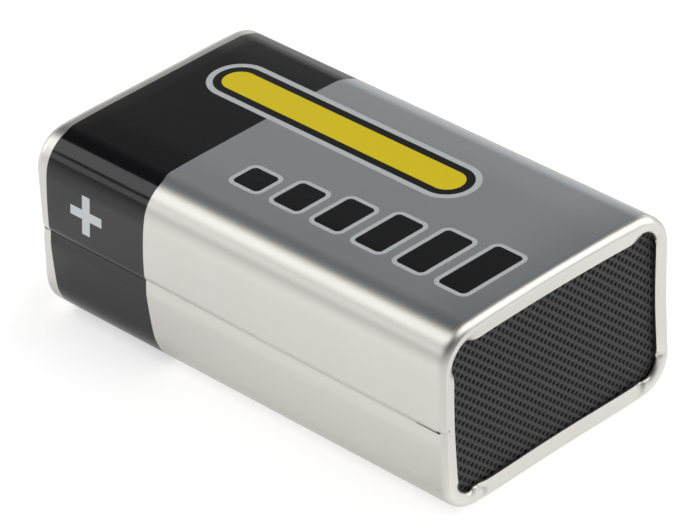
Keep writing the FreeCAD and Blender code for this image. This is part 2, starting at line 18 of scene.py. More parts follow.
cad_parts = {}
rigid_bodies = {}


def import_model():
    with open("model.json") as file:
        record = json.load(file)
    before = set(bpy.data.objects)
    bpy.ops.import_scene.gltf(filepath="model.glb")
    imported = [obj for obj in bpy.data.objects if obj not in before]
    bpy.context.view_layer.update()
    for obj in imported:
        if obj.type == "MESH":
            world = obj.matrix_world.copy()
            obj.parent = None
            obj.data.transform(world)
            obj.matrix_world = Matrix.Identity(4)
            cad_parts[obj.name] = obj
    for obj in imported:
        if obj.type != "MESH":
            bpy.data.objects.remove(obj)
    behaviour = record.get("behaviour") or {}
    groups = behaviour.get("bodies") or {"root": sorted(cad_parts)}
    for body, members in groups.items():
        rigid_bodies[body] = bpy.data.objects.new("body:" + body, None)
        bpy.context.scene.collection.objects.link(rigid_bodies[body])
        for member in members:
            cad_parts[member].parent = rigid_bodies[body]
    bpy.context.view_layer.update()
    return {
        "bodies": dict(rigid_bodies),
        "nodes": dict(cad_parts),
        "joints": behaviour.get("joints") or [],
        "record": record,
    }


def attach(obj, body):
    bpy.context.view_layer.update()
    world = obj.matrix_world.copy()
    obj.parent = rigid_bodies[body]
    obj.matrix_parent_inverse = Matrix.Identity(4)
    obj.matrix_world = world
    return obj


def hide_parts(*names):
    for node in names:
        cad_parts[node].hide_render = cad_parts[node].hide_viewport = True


MM = 0.001
LOG = logging.getLogger("battery")

# the battery's main sizes in the frame, in millimetres
WIDTH, DEPTH = 26.2, 17.0
BASE, TOP = -24.2375, 22.1625
MIDDLE = DEPTH / 2


class Side(Enum):
    """The four sides of the jacket, seen from the terminal end."""

    LEFT = "left"
    FRONT = "front"
    RIGHT = "right"
    BACK = "back"


class End(Enum):
    """The two open ends of the jacket, with the way each one faces along the battery."""

    BASE = -1.0
    TERMINAL = 1.0


class Part(Enum):
    """The parts of the sheet from an opening inwards."""

    FLANGE = "flange"
    ROLL = "roll"
    WALL = "wall"


def linear(colour: str) -> tuple[float, float, float, float]:
    """Turn an sRGB hex colour into the linear values that a node reads.

    Args:
        colour: Six hex digits after a hash sign.

    Returns:
        Red, green, blue and a full alpha.
    """
    parts = [int(colour[i : i + 2], 16) / 255 for i in (1, 3, 5)]
    red, green, blue = [c / 12.92 if c <= 0.04045 else ((c + 0.055) / 1.055) ** 2.4 for c in parts]
    return (red, green, blue, 1.0)


def smooth(value: float) -> float:
    """Ease a value from 0 to 1, held at both ends."""
    value = min(1.0, max(0.0, value))
    return value * value * (3 - 2 * value)


def bell(value: float, width: float) -> float:
    """Give a soft hump of height 1 at zero."""
    return math.exp(-((value / width) ** 2))


# ---------------------------------------------------------------- materials


class Value:
    """What a node gives, with which a pattern is written as a formula.

    A mask is a value from 0 to 1: ~ turns it round, & keeps the lower of two and | the higher.
    """

    def __init__(self, graph: "Graph", node: bpy.types.Node, output: int | str = 0) -> None:
        """Read one output of a node.

        Args:
            graph: The graph that the node is in.
            node: The node.
            output: The output's number or name.
        """
        self.graph, self.node, self.output = graph, node, output

    def __getitem__(self, output: int | str) -> "Value":
        """Read another output of the same node."""
        return Value(self.graph, self.node, output)

    def work(self, operation: str, *others: object) -> "Value":
        """Work out this value with others.

        Args:
            operation: What is done, as the Math node calls it.
            *others: The other values or numbers.

        Returns:
            The result.
        """
        inputs = dict(enumerate((self, *others)))
        return self.graph.add("ShaderNodeMath", inputs, operation=operation)

    def __add__(self, other: object) -> "Value":
        """Add a value."""
        return self.work("ADD", other)

    def __sub__(self, other: object) -> "Value":
        """Take a value away."""
        return self.work("SUBTRACT", other)

    def __rsub__(self, other: float) -> "Value":
        """Take this value away from a number."""
        return self.graph.add("ShaderNodeMath", {0: other, 1: self}, operation="SUBTRACT")

    def __mul__(self, other: object) -> "Value":
        """Multiply by a value."""
        return self.work("MULTIPLY", other)

    def __truediv__(self, other: object) -> "Value":
        """Divide by a value."""
        return self.work("DIVIDE", other)

    def __and__(self, other: object) -> "Value":
        """Keep the lower of two values."""
        return self.work("MINIMUM", other)

    def __or__(self, other: object) -> "Value":
        """Keep the higher of two values."""
        return self.work("MAXIMUM", other)

    def __invert__(self) -> "Value":
        """Turn a mask round."""
        return 1.0 - self

    def __abs__(self) -> "Value":
        """Drop the sign."""
        return self.work("ABSOLUTE")


class Graph:
    """The nodes of a material or of the world, with one short way to add to them."""

    def __init__(self, owner: bpy.types.Material | bpy.types.World) -> None:
        """Start with no nodes.

        Args:
            owner: The material, named for its finish as a maker would say it, or the world.
        """
        self.owner = owner
        owner.use_nodes = True
        self.tree = owner.node_tree
        self.tree.nodes.clear()

    def add(self, kind: str, inputs: dict | None = None, **options: object) -> Value:
        """Add a node.

        Args:
            kind: The node's type.
            inputs: Numbers, colours or other nodes' values, by input name or number.
            **options: The node's own settings.

        Returns:
            What the node gives, at first its first output.
        """
        node = self.tree.nodes.new(kind)
        for name, setting in options.items():
            setattr(node, name, setting)
        for name, given in (inputs or {}).items():
            if isinstance(given, Value):
                self.tree.links.new(given.node.outputs[given.output], node.inputs[name])
            else:
                node.inputs[name].default_value = given
        return Value(self, node)

    def place(self) -> Value:
        """Give the place on the battery in millimetres."""
        where = self.add("ShaderNodeTexCoord")["Object"]
        return self.add("ShaderNodeVectorMath", {0: where, "Scale": 1 / MM}, operation="SCALE")

    def parts(self, where: Value) -> list[Value]:
        """Split a place into its X, Y and Z."""
        split = self.add("ShaderNodeSeparateXYZ", {0: where})
        return [split[axis] for axis in "XYZ"]

    def step(
        self, value: Value, edge: float, soft: float = 0.06, low: float = 0.0, high: float = 1.0
    ) -> Value:
        """Change softly from one level to another at an edge.

        Args:
            value: What is compared.
            edge: Where it changes.
            soft: How wide the change is.
            low: The level below the edge.
            high: The level above it.

        Returns:
            The level, which is a mask unless low and high say otherwise.
        """
        inputs = {"Value": value, "From Min": edge - soft / 2, "From Max": edge + soft / 2}
        inputs |= {"To Min": low, "To Max": high}
        return self.add("ShaderNodeMapRange", inputs, interpolation_type="SMOOTHSTEP")

    def between(self, value: Value, low: float, high: float, soft: float = 0.06) -> Value:
        """Give 1 between two edges and 0 outside them."""
        return self.step(value, low, soft) * ~self.step(value, high, soft)

    def rounded(self, a: Value, b: Value, half_a: object, half_b: object, radius: float) -> Value:
        """Give the distance outside a rounded rectangle.

        Args:
            a: The place from the middle, the first way.
            b: The place from the middle, the second way.
            half_a: Half the size, the first way.
            half_b: Half the size, the second way.
            radius: The corners' radius.

        Returns:
            The distance, below 0 inside.
        """
        out_a = (abs(a) - (half_a - radius)) | 0.0
        out_b = (abs(b) - (half_b - radius)) | 0.0
        return (out_a * out_a + out_b * out_b).work("SQRT") - radius

    def mottle(
        self, where: Value, fine: float, detail: float = 2.0, stretch: tuple = (1, 1, 1)
    ) -> Value:
        """Scatter an uneven mottle over the piece.

        Args:
            where: The place.
            fine: How many spots there are in a millimetre.
            detail: How fine the smallest spots are.
            stretch: How much the place is scaled along each axis first.

        Returns:
            The mottle, about 0.5 on average.
        """
        scaled = self.add("ShaderNodeMapping", {"Vector": where, "Scale": stretch})
        return self.add("ShaderNodeTexNoise", {"Vector": scaled, "Scale": fine, "Detail": detail})

    def lay(self, below: object, above: object, mask: Value) -> Value:
        """Lay one colour over another.

        Args:
            below: The colour below, as a value or in hex.
            above: The colour above, as a value or in hex.
            mask: Where and how thickly it lies.

        Returns:
            The colour.
        """
        below, above = (linear(c) if isinstance(c, str) else c for c in (below, above))
        return self.add("ShaderNodeMix", {0: mask, 6: below, 7: above}, data_type="RGBA")[2]

    def finish(self, relief: tuple, **inputs: object) -> bpy.types.Material:
        """Close a material with its relief and its shader.

        Args:
            relief: The height, how strongly it shows and how high it is in millimetres.
            **inputs: The shader's inputs, with _ for each space.

        Returns:
            The material.
        """
        height, strength, reach = relief
        bump = {"Height": height, "Strength": strength, "Distance": reach * MM}
        surface = {name.replace("_", " "): value for name, value in inputs.items()}
        surface["Normal"] = self.add("ShaderNodeBump", bump)
        shader = self.add("ShaderNodeBsdfPrincipled", surface)
        self.add("ShaderNodeOutputMaterial", {"Surface": shader})
        return self.owner


@dataclass(frozen=True)
class Spot:
    """A place on the jacket: across it, on from the terminal end, and up from back to front."""

    x: Value
    u: Value
    z: Value


@dataclass(frozen=True)
class Patch:
    """A rounded rectangle in the print, by its middle, half its size each way and its corners."""

    middle: tuple[float, float]
    half: tuple[float, float]
    corner: float

    def gap(self, g: Graph, a: Value, b: Value) -> Value:
        """Give the distance outside the patch.

        Args:
            g: The material's nodes.
            a: The place the first way.
            b: The place the second way.

        Returns:
            The distance, below 0 inside.
        """
        return g.rounded(a - self.middle[0], b - self.middle[1], *self.half, self.corner)


@dataclass(frozen=True)
class Graphic:
    """The plain graphic on the front: six rising bars and a stripe over the band's border."""

    # the bars: where the first one starts, how far apart they are and how much each one grows
    count: int = 6
    start: float = 16.6
    pitch: float = 4.55
    foot: float = -7.2
    half_thick: float = 1.45
    half_first: float = 1.35
    growth: float = 0.42
    corner: float = 0.45
    bar_outline: float = 0.4
    stripe: Patch = Patch((18.6, 4.2), (13.4, 1.5), 1.5)
    stripe_key: float = 0.75
    stripe_outline: float = 1.3

    def bars(self, g: Graph, at: Spot) -> tuple[Value, Value]:
        """Draw the bars.

        Args:
            g: The material's nodes.
            at: The place.

        Returns:
            Masks of the bars and of the bars with their outlines.
        """
        slot = (at.u - self.start) / self.pitch
        local = (slot.work("FRACT") - 0.5) * self.pitch
        half = slot.work("FLOOR") * self.growth + self.half_first
        gap = g.rounded(local, at.x - (half + self.foot), self.half_thick, half, self.corner)
        shown = g.between(at.u, self.start, self.start + self.count * self.pitch, 0.01)
        return ~g.step(gap, 0.0) * shown, ~g.step(gap, self.bar_outline) * shown

    def stripes(self, g: Graph, at: Spot) -> tuple[Value, ...]:
        """Draw the stripe.

        Args:
            g: The material's nodes.
            at: The place.

        Returns:
            Masks of the stripe, of it with its keyline, and of both with the outline.
        """
        gap = self.stripe.gap(g, at.u, at.x)
        return tuple(~g.step(gap, reach) for reach in (0.0, self.stripe_key, self.stripe_outline))


@dataclass(frozen=True)
class Signs:
    """The plain polarity signs: a plus on the left side and a minus on the right side."""

    middle: tuple = (6.1, 11.7)
    slant: float = 0.09
    long_arm: tuple = (1.86, 0.46)
    cross_arm: tuple = (0.46, 1.92)
    corner: float = 0.05
    wall: float = 12.9

    def draw(self, g: Graph, at: Spot) -> Value:
        """Draw the signs.

        Args:
            g: The material's nodes.
            at: The place.

        Returns:
            The mask of both signs.
        """
        up = at.z - self.middle[1]
        along = (at.u - self.middle[0]) - up * self.slant
        lengthwise = ~g.step(g.rounded(along, up, *self.long_arm, self.corner), 0.0)
        crosswise = ~g.step(g.rounded(along, up, *self.cross_arm, self.corner), 0.0)
        plus = (lengthwise | crosswise) * ~g.step(at.x, -self.wall, 0.1)
        minus = crosswise * g.step(at.x, self.wall, 0.1)
        return plus | minus


@dataclass(frozen=True)
class PrintedTinplate:
    """Tin-plated steel sheet, printed in black, metallic grey and yellow under a clear varnish."""

    tin: str = "#DEDBD6"
    tin_grain: str = "#C9C5BF"
    tin_cloud: str = "#D3CFC8"
    grey: str = "#B4BABD"
    grey_flake: str = "#BEC4C7"
    # the grey that the panel darkens to towards the base end
    grey_toward_base: str = "#808689"
    black: str = "#0E0E11"
    yellow: str = "#EBD21A"
    pale: str = "#C6CACB"
    sign: str = "#C3C7C9"
    # painted shade in the lap's gap and crease, over the sheet's dark cut edge
    lap_shade: str = "#2B2927"
    # the print's borders from the terminal end and from the middle, and how they bow
    margin: float = 1.32
    band: float = 12.76
    panel_end: float = 45.5
    panel_half: float = 10.98
    panel_fade: float = 0.7
    broad_from: float = 7.2
    darker_from: float = 39.0
    darker_fade: float = 8.0
    darker_share: float = 0.4
    ink_edge: float = 0.12
    bow_middle: float = 9.3
    bow_rise: float = 0.0185
    bow_most: float = 0.9
    bow_front: float = 0.4
    bow_start: float = 0.6
    front_face: float = 16.9
    lap_wall: float = -12.4
    graphic: Graphic = Graphic()
    signs: Signs = Signs()
    # painted shade: the lap's gaping line near the base, the spot that it ends in and the crease at
    # the other rim
    lap_shade_marks: tuple = (
        Patch((44.3, 8.17), (1.2, 0.07), 0.06),
        Patch((45.5, 8.22), (0.16, 0.14), 0.13),
        Patch((0.2, 8.35), (0.8, 0.12), 0.11),
    )

    def make(self) -> bpy.types.Material:
        """Build the material."""
        # Cold-rolled sheet with a thin coat of tin: broad silvery reflections, drawn out lengthwise
        # by the rolling. The metallic ink is a little duller, and varnish lies glossy on the black.
        g = Graph(bpy.data.materials.new("printed_tinplate"))
        where = g.place()
        x, y, z = g.parts(where)
        at = Spot(x, TOP - y, z)
        black, panel = self.black_band(g, at), self.grey_panel(g, at)
        bars, bar_edges = self.graphic.bars(g, at)
        stripe, stripe_key, stripe_edge = self.graphic.stripes(g, at)
        signs = self.signs.draw(g, at)
        front = g.step(z, self.front_face, 0.05)

        # Streaks 0.3 mm wide and 6 mm long stand for the finer rolling grain, and spots of 0.07 mm
        # for the finer flakes in the ink. The clouds are about 6 mm across.
        grain = g.mottle(where, 3.2, 4.0, (1.0, 0.05, 1.0))
        cloud = g.mottle(where, 0.16, 2.0)
        flake = g.mottle(where, 14.0, 1.0)
        tin = g.lay(self.tin, self.tin_grain, grain * 0.2)
        tin = g.lay(tin, self.tin_cloud, cloud * 0.3)
        grey = g.lay(self.grey, self.grey_flake, flake)
        # the grey panel turns darker towards the base end
        toward_base = g.step(at.u, self.darker_from + self.darker_fade / 2, self.darker_fade)
        grey = g.lay(grey, self.grey_toward_base, toward_base * self.darker_share)
        colour = g.lay(g.lay(tin, grey, panel), self.black, black)
        for ink, mask in (
            (self.pale, stripe_edge * front),
            (self.black, stripe_key * front),
            (self.yellow, stripe * front),
            (self.pale, bar_edges * front),
            (self.black, bars * front),
            (self.sign, signs),
            # painted shade along the lap's gap and crease
            (self.lap_shade, self.shade_the_lap(g, at)),
        ):
            colour = g.lay(colour, ink, mask)

        # solid ink hides the metal, and its varnish is smoother than the bare tin
        inked = (black | (bar_edges | stripe_edge) * front) * ~signs
        metal = (1.0 - panel * 0.15) * ~inked
        rough = (grain * 0.04 + 0.34) - inked * 0.24
        dents = g.step(g.mottle(where, 1.1, 1.0), 0.66, 0.16)
        height = grain * 0.3 + dents * 0.5 + inked * 0.2
        return g.finish(
            (height, 0.25, 0.012),
            Base_Color=colour,
            Metallic=metal,
            Roughness=rough,
            Specular_IOR_Level=0.5,
        )

    def grey_panel(self, g: Graph, at: Spot) -> Value:
        """Give the mask of the grey panels on the two broad faces.

        Args:
            g: The material's nodes.
            at: The place.

        Returns:
            The mask.
        """
        inside = ~g.step(abs(at.x), self.panel_half, self.panel_fade)
        broad = g.step(abs(at.z - MIDDLE), self.broad_from, 0.1)
        return inside * broad * g.between(at.u, self.band, self.panel_end, 0.08)

    def black_band(self, g: Graph, at: Spot) -> Value:
        """Give the mask of the black band, whose borders bow away at the narrow sides' corners.

        Args:
            g: The material's nodes.
            at: The place.

        Returns:
            The mask.
        """
        off = at.z - self.bow_middle
        limit = self.bow_most - g.step(at.z, 10.0, 4.0) * (self.bow_most - self.bow_front)
        bow = (off * off * self.bow_rise) & self.bow_most & limit
        bow = bow * g.step(abs(at.x), 10.2, 1.6)
        start = g.step(at.u - bow * self.bow_start, self.margin, self.ink_edge)
        return start * ~g.step(at.u - bow, self.band, self.ink_edge)

    def shade_the_lap(self, g: Graph, at: Spot) -> Value:
        """Paint shade where the lap gapes near the base and where it crosses the other rim.

        Args:
            g: The material's nodes.
            at: The place.

        Returns:
            The mask.
        """
        line, spot, crease = (mark.gap(g, at.u, at.z) for mark in self.lap_shade_marks)
        return ~g.step(line & spot & crease, 0.0, 0.1) * ~g.step(at.x, self.lap_wall, 0.1)


@dataclass(frozen=True)
class PittedPlastic:
    """Moulded black ABS, with painted shade that darkens its pits towards their floors."""

    ridge: str = "#444444"
    # painted shade: the colour of the pits' floors, nearly black
    floor: str = "#101010"
    speck: str = "#373738"
    shade_line: float = -23.39

    def make(self) -> bpy.types.Material:
        """Build the material."""
        # Moulded against a spark-eroded tool: matt and charcoal grey on the ridges. The pits get
        # painted shade, nearly black, as little light comes there. The grit is about 0.1 mm.
        g = Graph(bpy.data.materials.new("pitted_plastic"))
        where = g.place()
        grit = g.mottle(where, 9.0, 3.0)
        # painted shade: the pits turn nearly black below the shade line
        colour = g.lay(self.ridge, self.floor, g.step(g.parts(where)[1], self.shade_line, 0.14))
        colour = g.lay(colour, self.speck, grit * 0.25)
        relief = (grit, 0.3, 0.02)
        return g.finish(relief, Base_Color=colour, Roughness=0.48, Specular_IOR_Level=0.28)


@dataclass(frozen=True)
class Plain:
    """A finish of one colour with fine mottling, for metals, plastics, card and paste.

    Grain is how many spots of the mottle there are in a millimetre, which is coarser than on the
    real thing so that it shows at all, and relief is how high they stand in millimetres.
    """

    name: str
    colour: str
    second: str
    roughness: float
    metallic: float = 0.0
    grain: float = 4.0
    relief: float = 0.01
    stretch: tuple = (1.0, 1.0, 1.0)

    def make(self) -> bpy.types.Material:
        """Build the material."""
        # NODE_FINISH says what each one gives the eye
        g = Graph(bpy.data.materials.new(self.name))
        mottle = g.mottle(g.place(), self.grain, 4.0, self.stretch)
        return g.finish(
            (mottle, 0.3, self.relief),
            Base_Color=g.lay(self.colour, self.second, mottle),
            Metallic=self.metallic,
            Roughness=mottle * (self.roughness * 0.4) + self.roughness * 0.8,
        )


@dataclass(frozen=True)
class WhiteCard:
    """The floor of matt white card, as the camera sees it and as the sheet mirrors it."""

    matt: tuple = (0.86, 0.86, 0.86, 1)
    # how much it glows for the camera, and in mirrors close to the battery and far from it
    seen: float = 0.56
    close: float = 0.3
    far: float = 0.46
    fall: float = 14.0
    # painted light before the base, and painted shade beside the base and past the terminals, in
    # mirrors only
    before_base: float = 0.18
    left_dimmed: float = 0.45
    past_dimmed: float = 0.25

    def make(self) -> bpy.types.Material:
        """Build the material."""
        # Uncoated card: even, without a glint. It glows a little, so that it stays white under soft
        # lamps.
        # In what the battery mirrors, the glow is painted light, and less close by as painted
        # shade.
        g = Graph(bpy.data.materials.new("white_card"))
        x, y, _ = g.parts(g.place())
        beside, beyond = abs(x) - WIDTH / 2, (abs(y) - 24.2) * 6.0
        glow = g.step(beside | beyond, self.fall / 2, self.fall, self.close, self.far)
        # painted light before the base, and painted shade beside the base, past the terminals and
        # to the right, in mirrors only
        before_base = g.between(y, -30.0, -23.0, 3.0)
        left_of_base = ~g.step(y, -20.0, 5.0) * ~g.step(x, -14.0, 4.0)
        past_terminals = ~g.step(x, -6.0, 8.0) * g.step(y, 32.5, 3.0)
        right_side = g.step(x, 15.0, 4.0) * g.step(y, -24.0, 3.0)
        glow = glow + before_base * self.before_base
        glow = glow * (1.0 - left_of_base * self.left_dimmed)
        glow = glow * (1.0 - past_terminals * self.past_dimmed) * ~right_side
        ray = g.add("ShaderNodeLightPath")
        shown = (ray["Is Camera Ray"] * self.seen) | (ray["Is Glossy Ray"] * glow)
        light = g.add("ShaderNodeEmission", {"Color": (1, 1, 1, 1), "Strength": shown})
        matt = g.add("ShaderNodeBsdfDiffuse", {"Color": self.matt})
        both = g.add("ShaderNodeAddShader", {0: matt, 1: light})
        g.add("ShaderNodeOutputMaterial", {"Surface": both})
        return g.owner


ALONG = (1.0, 0.1, 1.0)

NODE_FINISH = {
    # plated tin on the sheet's bare inner face: bright and slightly cloudy
    "printed_steel": Plain("bare_tin", "#DAD7D2", "#CFCBC5", 0.3, 1.0, 2.0, 0.005),
    # moulded ABS: dark with a soft sheen
    "base_plastic": Plain("black_plastic", "#3A3A3B", "#303031", 0.5),
    # pressed phenolic board: nearly black, a little uneven
    "board_plastic": Plain("board_plastic", "#1C1C1E", "#252527", 0.45, 0.0, 6.0, 0.02),
    # unbleached rolled card: brown and dry, with fibres that run lengthwise
    "liner_card": Plain("kraft_card", "#B9A583", "#A9936F", 0.85, 0.0, 1.5, 0.03, (1, 0.3, 1)),
    # pressed fibre card: grey, dry and flecked
    "insulating_card": Plain("grey_card", "#8D8980", "#7A766D", 0.85, 0.0, 2.0, 0.03),
    # nickel plate on drawn sheet: warm white and nearly mirror-bright
    "nickel_plate": Plain("nickel_plate", "#D8D3C8", "#CEC8BC", 0.22, 1.0, 3.0, 0.006),
    # cold-rolled nickel: a soft shine drawn out lengthwise
    "nickel_strip": Plain("nickel_strip", "#CFCBC3", "#BFBBB2", 0.32, 1.0, 3.0, 0.006, ALONG),
    # deep-drawn plated steel: bright, with faint drawing lines along the can
    "nickel_plated_steel": Plain("can_steel", "#C9C6C0", "#BDB9B2", 0.3, 1.0, 2.0, 0.006, ALONG),
    # pressed manganese dioxide and graphite: black, dull and grainy
    "cathode_mix": Plain("cathode_mix", "#1E1D1C", "#2A2826", 0.8, 0.0, 8.0, 0.05),
    # unwoven cellulose: off-white and quite matt
    "separator_paper": Plain("separator_paper", "#E6E0D2", "#D8D1C0", 0.9, 0.0, 3.0, 0.03),
    # zinc powder in gel: wet grey grains with a dim metallic glint
    "zinc_gel": Plain("zinc_gel", "#7C7F84", "#5F6268", 0.45, 0.3, 9.0, 0.05),
    # drawn brass wire: yellow and bright
    "brass": Plain("brass", "#C9A45A", "#B8924B", 0.3, 1.0, 3.0, 0.006),
    # natural moulded nylon: cream, with a waxy sheen
    "nylon": Plain("nylon", "#D9D3C2", "#CFC8B5", 0.5, 0.0, 2.0, 0.01),
}


# ---------------------------------------------------------------- modelling


def deselect() -> None:
    """Leave every object unselected."""
    if bpy.context.object and bpy.context.object.mode != "OBJECT":
        bpy.ops.object.mode_set(mode="OBJECT")
    bpy.ops.object.select_all(action="DESELECT")


def named(name: str) -> bpy.types.Object:
    """Give the object that an operator has just added its name."""
    piece = bpy.context.object
    piece.name = name
    piece.data.name = name
    return piece


def edit(piece: bpy.types.Object) -> bmesh.types.BMesh:
    """Go into edit mode and give the piece's edit mesh."""
    bpy.ops.object.mode_set(mode="EDIT")
    return bmesh.from_edit_mesh(piece.data)


def select(items: list) -> None:
    """Select only the given faces or edges in edit mode."""
    bpy.ops.mesh.select_all(action="DESELECT")
    for item in items:
        item.select_set(True)


def face_outwards() -> None:
    """Select the whole edit mesh and turn its faces outwards."""
    bpy.ops.mesh.select_all(action="SELECT")
    bpy.ops.mesh.normals_make_consistent(inside=False)


def modify(piece: bpy.types.Object, name: str, kind: str, **options: object) -> None:
    """Add a modifier with its settings and apply it.

    Args:
        piece: The piece.
        name: The modifier's name.
        kind: Its type.
        **options: Its settings.
    """
    modifier = piece.modifiers.new(name, kind)
    for option, setting in options.items():
        setattr(modifier, option, setting)
    bpy.ops.object.modifier_apply(modifier=modifier.name)


def dress(piece: bpy.types.Object, *materials: bpy.types.Material) -> None:
    """Give a piece its materials."""
    piece.data.materials.clear()
    for material in materials:
        piece.data.materials.append(material)


def settle(
    piece: bpy.types.Object, angle: float, *materials: bpy.types.Material
) -> bpy.types.Object:
    """Leave edit mode, smooth a piece, dress it and put its place into its mesh.

    Args:
        piece: The piece.
        angle: The sharpest edge that is smoothed over, in degrees.
        *materials: Its materials.

    Returns:
        The piece.
    """
    if piece.mode == "EDIT":
        bpy.ops.object.mode_set(mode="OBJECT")
    bpy.ops.object.shade_smooth_by_angle(angle=math.radians(angle))
    dress(piece, *materials)
    deselect()
    piece.select_set(True)
    bpy.context.view_layer.objects.active = piece
    bpy.ops.object.transform_apply(location=True, rotation=True, scale=True)
    return piece


@dataclass(frozen=True)
class Place:
    """One place round the jacket's outer wall.

    Out is the way out of the wall, along is how far the place is from its side's middle, with a
    sign, and flat is half of that side's straight run.
    """

    outer: Vector
    out: Vector
    side: Side
    along: float
    flat: float


@dataclass(frozen=True)
class Station:
    """One station along the sheet, from the base opening to the terminal opening.

    The value is how far over the flange it is, the angle that the roll has turned in degrees, or
    the place along the wall.
    """

    end: End | None
    part: Part
    value: float


@dataclass(frozen=True)
class Roll:
    """The section of a rolled rim, wide against the wall and tight at its crest."""

    wide: float = 1.1
    tight: float = 0.22
    turn: float = 50.0

    def bend(self, angle: float) -> tuple[float, float]:
        """Place a point of the roll.

        Args:
            angle: How far the sheet has turned from the wall, in degrees.

        Returns:
            How far in from the outer wall and how far below the crest the point lies.
        """
        turn, here = math.radians(self.turn), math.radians(angle)
        if here <= turn:
            dip = self.tight * (1 - math.sin(turn)) + self.wide * (math.sin(turn) - math.sin(here))
            return self.wide * (1 - math.cos(here)), dip
        inward = self.wide * (1 - math.cos(turn)) + self.tight * (math.cos(turn) - math.cos(here))
        return inward, self.tight * (1 - math.sin(here))


@dataclass(frozen=True)
class FlangeEnd:
    """How a flange ends at a corner.

    Full is how far from the next wall it has its full reach, and fade is how long it takes to
    fade to a lip. The dimple is how deep it is pressed in there, and the swell how far the lip
    bulges, both where the real sheet crumples.
    """

    full: float
    fade: float
    dimple: float = 0.0
    swell: float = 0.0


@dataclass
class Flange:
    """The rim's flange, which is flat along the sides and a tight lip in the corners."""

    lip: tuple = (0.7, 0.45)
    lip_turn: float = 98.0
    slope: float = 15.0
    # where the crumples lie and how wide they are
    swell_at: float = 0.25
    swell_width: float = 0.55
    dimple_at: float = 0.3
    dimple_width: float = 0.35
    dimple_in: float = 1.2
    dimple_reach: float = 0.4
    reach: dict = field(
        default_factory=lambda: {
            Side.FRONT: 1.9,
            Side.BACK: 1.58,
            Side.LEFT: 1.53,
            Side.RIGHT: 1.47,
        }
    )
    ends: dict = field(
        default_factory=lambda: {
            (Side.FRONT, -1): FlangeEnd(4.6, 2.6),
            (Side.FRONT, 1): FlangeEnd(4.6, 2.9),
            (Side.LEFT, 1): FlangeEnd(4.6, 2.4),
            (Side.LEFT, -1): FlangeEnd(2.6, 1.2),
            (Side.RIGHT, 1): FlangeEnd(3.1, 0.8),
            (Side.RIGHT, -1): FlangeEnd(3.3, 0.9, 0.2),
            (Side.BACK, -1): FlangeEnd(4.3, 0.6, 0.25, 0.45),
            (Side.BACK, 1): FlangeEnd(3.8, 0.8, 0.2, 0.2),
        }
    )

    def bend(self, roll: Roll, place: Place, wall: float, part: float) -> tuple[float, float]:
        """Place a point of the flange.

        Args:
            roll: The roll that the flange runs out of.
            place: The place round the jacket.
            wall: The distance from the next side wall.
            part: How far along the flange it is from the crest, up to 1 at the free edge.

        Returns:
            How far in from the outer wall and how far below the crest the point lies.
        """
        turned_round = place.side in (Side.RIGHT, Side.BACK)
        sign = (1 if place.along >= 0 else -1) * (-1 if turned_round else 1)
        end = self.ends[(place.side, sign)]
        corner = wall - end.full + end.fade
        share = smooth(corner / end.fade)
        turn = math.radians(self.lip_turn) * part
        start_in, start_dip = roll.bend(90 + self.slope)
        curl = 1 + end.swell * bell(corner + self.swell_at, self.swell_width)
        lip_in = start_in + self.lip[0] * curl * math.sin(turn)
        lip_dip = start_dip + self.lip[1] * (1 - math.cos(turn))
        flat_in = start_in + (self.reach[place.side] - start_in) * part
        flat_dip = start_dip + math.tan(math.radians(self.slope)) * (flat_in - start_in)
        inward = lip_in + (flat_in - lip_in) * share
        dip = lip_dip + (flat_dip - lip_dip) * share
        near = bell(wall - end.full + end.fade * self.dimple_at, self.dimple_width)
        return inward, dip + end.dimple * near * bell(inward - self.dimple_in, self.dimple_reach)


@dataclass(frozen=True)
class Lap:
    """The lap on the left side, where one edge of the sheet lies over the other."""

    half: float = 4.9
    step: float = 0.13
    ramp: float = 1.6
    # how the lap's line strays: off the middle, along the battery and down at the base
    aside: float = 0.12
    drift: float = 0.17
    curl: float = 0.25
    # the upper edge's soft bend, and the shadow gap beneath it
    edge_bend: float = 0.1
    edge_width: float = 0.42
    groove: float = 0.1
    groove_open: float = 0.32
    groove_half: float = 0.16

    def shift(self, along: float, y: float) -> float:
        """Say how far up the side a place is shifted, so that the lap runs as the real one does.

        Args:
            along: The distance from the side's middle.
            y: The place along the battery.

        Returns:
            The shift.
        """
        curl = self.curl * max(0.0, BASE + 1.0 - y)
        drift = self.drift * smooth((TOP - 10.0 - y) / 25.0)
        return (curl - drift - self.aside) * smooth(1 - abs(along) / self.half)

    def depth(self, along: float, y: float, under: bool) -> float:
        """Say how far in a place lies: bent in at the upper edge, and one sheet down below it.

        Args:
            along: The distance from the side's middle.
            y: The place along the battery.
            under: True for the places under the lap's edge.

        Returns:
            The depth.
        """
        if not under:
            return self.edge_bend * max(0.0, 1 - abs(along) / self.edge_width) ** 1.5
        # it gapes 0.7 to 3.5 mm from the base, is shut in the roll, and opens at the other rim
        from_base, from_top = y - BASE, TOP - y
        gaping = smooth((3.5 - from_base) / 0.7) * smooth((from_base - 0.7) / 0.3)
        groove = self.groove + (self.groove_open - self.groove) * gaping
        groove *= smooth((from_base - 0.2) / 0.6)
        groove += 2 * self.groove * smooth((1.6 - from_top) / 0.8)
        sheet = self.step * smooth(1 - abs(along) / self.ramp)
        return sheet + groove * smooth(1 - abs(along) / self.groove_half)


